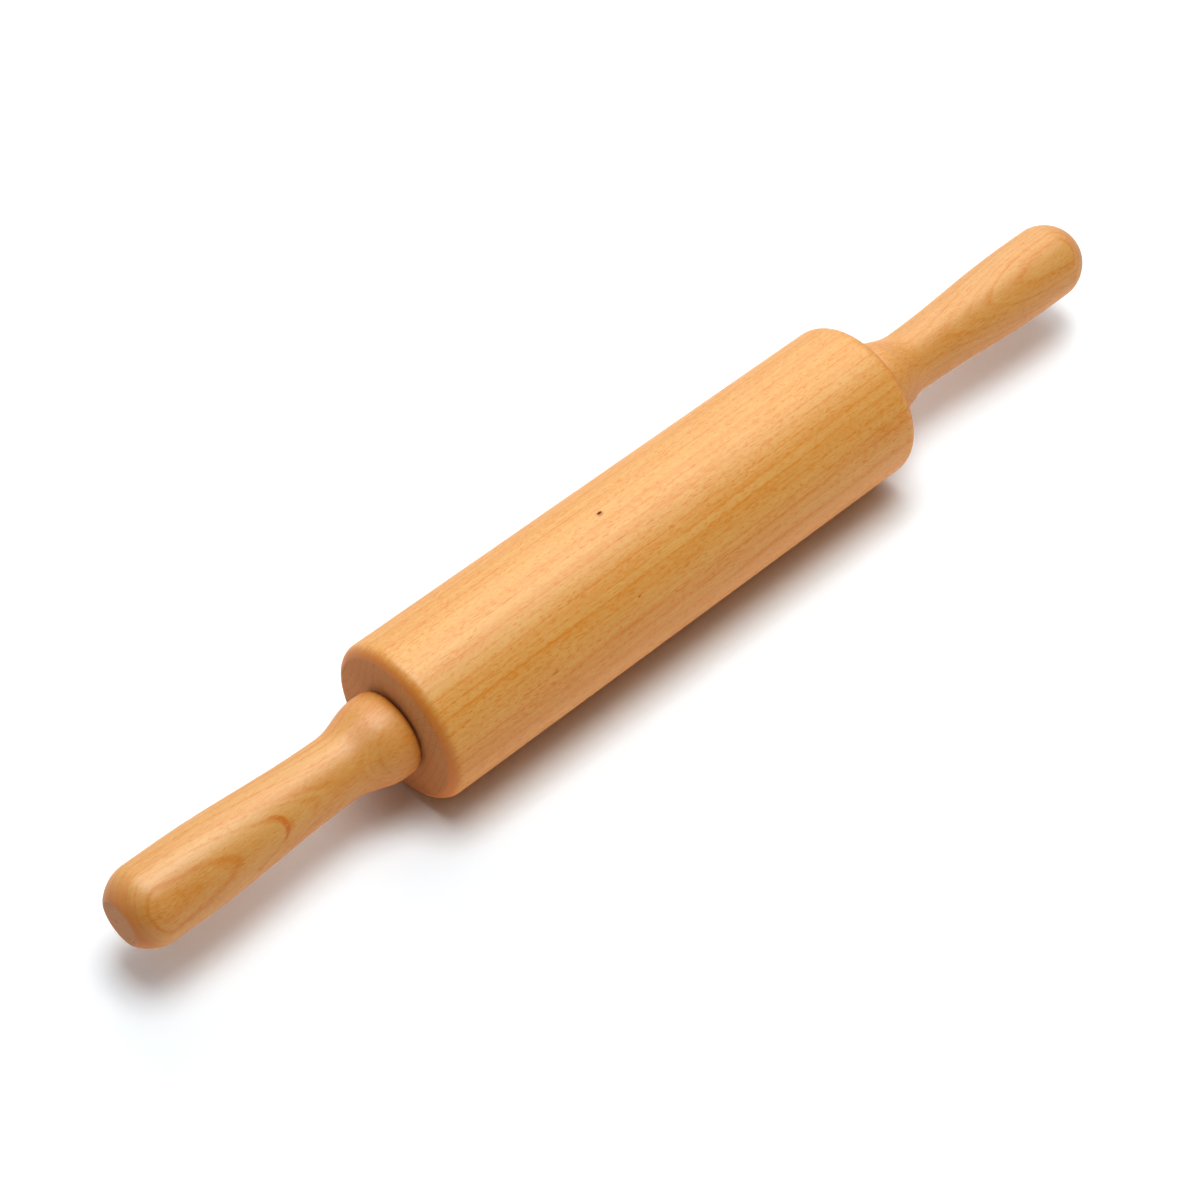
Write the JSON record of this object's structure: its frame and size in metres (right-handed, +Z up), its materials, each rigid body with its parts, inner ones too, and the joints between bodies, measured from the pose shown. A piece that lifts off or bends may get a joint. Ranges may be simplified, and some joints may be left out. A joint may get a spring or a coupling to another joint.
{
  "type": "rolling pin",
  "caption": "Wooden rolling pin with a cylindrical barrel that turns on ball bearings, on a steel axle between two fixed turned handles.",
  "frame": {"origin": "centre of the bounding box's underside: on the table, under the middle of the barrel", "axes": "+X along the axle towards the right handle, +Z up from the table"},
  "size_m": [0.4492, 0.06, 0.0599],
  "materials": {
    "barrel_beech": "satin clear lacquer on straight-grained beech",
    "handle_beech": "satin clear lacquer on turned beech",
    "plug_end_grain": "sanded end grain, thinly lacquered",
    "axle_steel": "bright drawn rod",
    "zinc_plated_steel": "zinc plated",
    "bearing_steel": "ground",
    "ball_steel": "polished",
    "shield_steel": "pressed sheet",
    "cage_nylon": "moulded black nylon"
  },
  "bodies": {
    "barrel": {"barrel": "barrel_beech", "left_bearing_outer_ring": "bearing_steel", "left_bearing_outboard_shield": "shield_steel", "left_bearing_inboard_shield": "shield_steel", "right_bearing_outer_ring": "bearing_steel", "right_bearing_outboard_shield": "shield_steel", "right_bearing_inboard_shield": "shield_steel"},
    "handles": {"axle_rod": "axle_steel", "left_handle": "handle_beech", "left_end_plug": "plug_end_grain", "left_thrust_washer": "zinc_plated_steel", "left_nut_washer": "zinc_plated_steel", "left_nut": "zinc_plated_steel", "left_bearing_inner_ring": "bearing_steel", "right_handle": "handle_beech", "right_end_plug": "plug_end_grain", "right_thrust_washer": "zinc_plated_steel", "right_nut_washer": "zinc_plated_steel", "right_nut": "zinc_plated_steel", "right_bearing_inner_ring": "bearing_steel"},
    "left_ball_set": {"left_bearing_cage": "cage_nylon", "left_bearing_ball_1": "ball_steel", "left_bearing_ball_2": "ball_steel", "left_bearing_ball_3": "ball_steel", "left_bearing_ball_4": "ball_steel", "left_bearing_ball_5": "ball_steel", "left_bearing_ball_6": "ball_steel", "left_bearing_ball_7": "ball_steel"},
    "right_ball_set": {"right_bearing_cage": "cage_nylon", "right_bearing_ball_1": "ball_steel", "right_bearing_ball_2": "ball_steel", "right_bearing_ball_3": "ball_steel", "right_bearing_ball_4": "ball_steel", "right_bearing_ball_5": "ball_steel", "right_bearing_ball_6": "ball_steel", "right_bearing_ball_7": "ball_steel"}
  },
  "joints": [
    {"name": "handle_spin", "type": "hinge", "parent": "barrel", "child": "handles", "pos_m": [0, 0, 0.02996], "axis": [1, 0, 0], "continuous": true},
    {"name": "left_ball_roll", "type": "hinge", "parent": "barrel", "child": "left_ball_set", "pos_m": [-0.1063, 0, 0.02996], "axis": [1, 0, 0], "continuous": true},
    {"name": "right_ball_roll", "type": "hinge", "parent": "barrel", "child": "right_ball_set", "pos_m": [0.1063, 0, 0.02996], "axis": [1, 0, 0], "continuous": true}
  ],
  "couplings": [
    {"joint": "left_ball_roll", "follows": "handle_spin", "ratio": 0.3677},
    {"joint": "right_ball_roll", "follows": "handle_spin", "ratio": 0.3677}
  ]
}
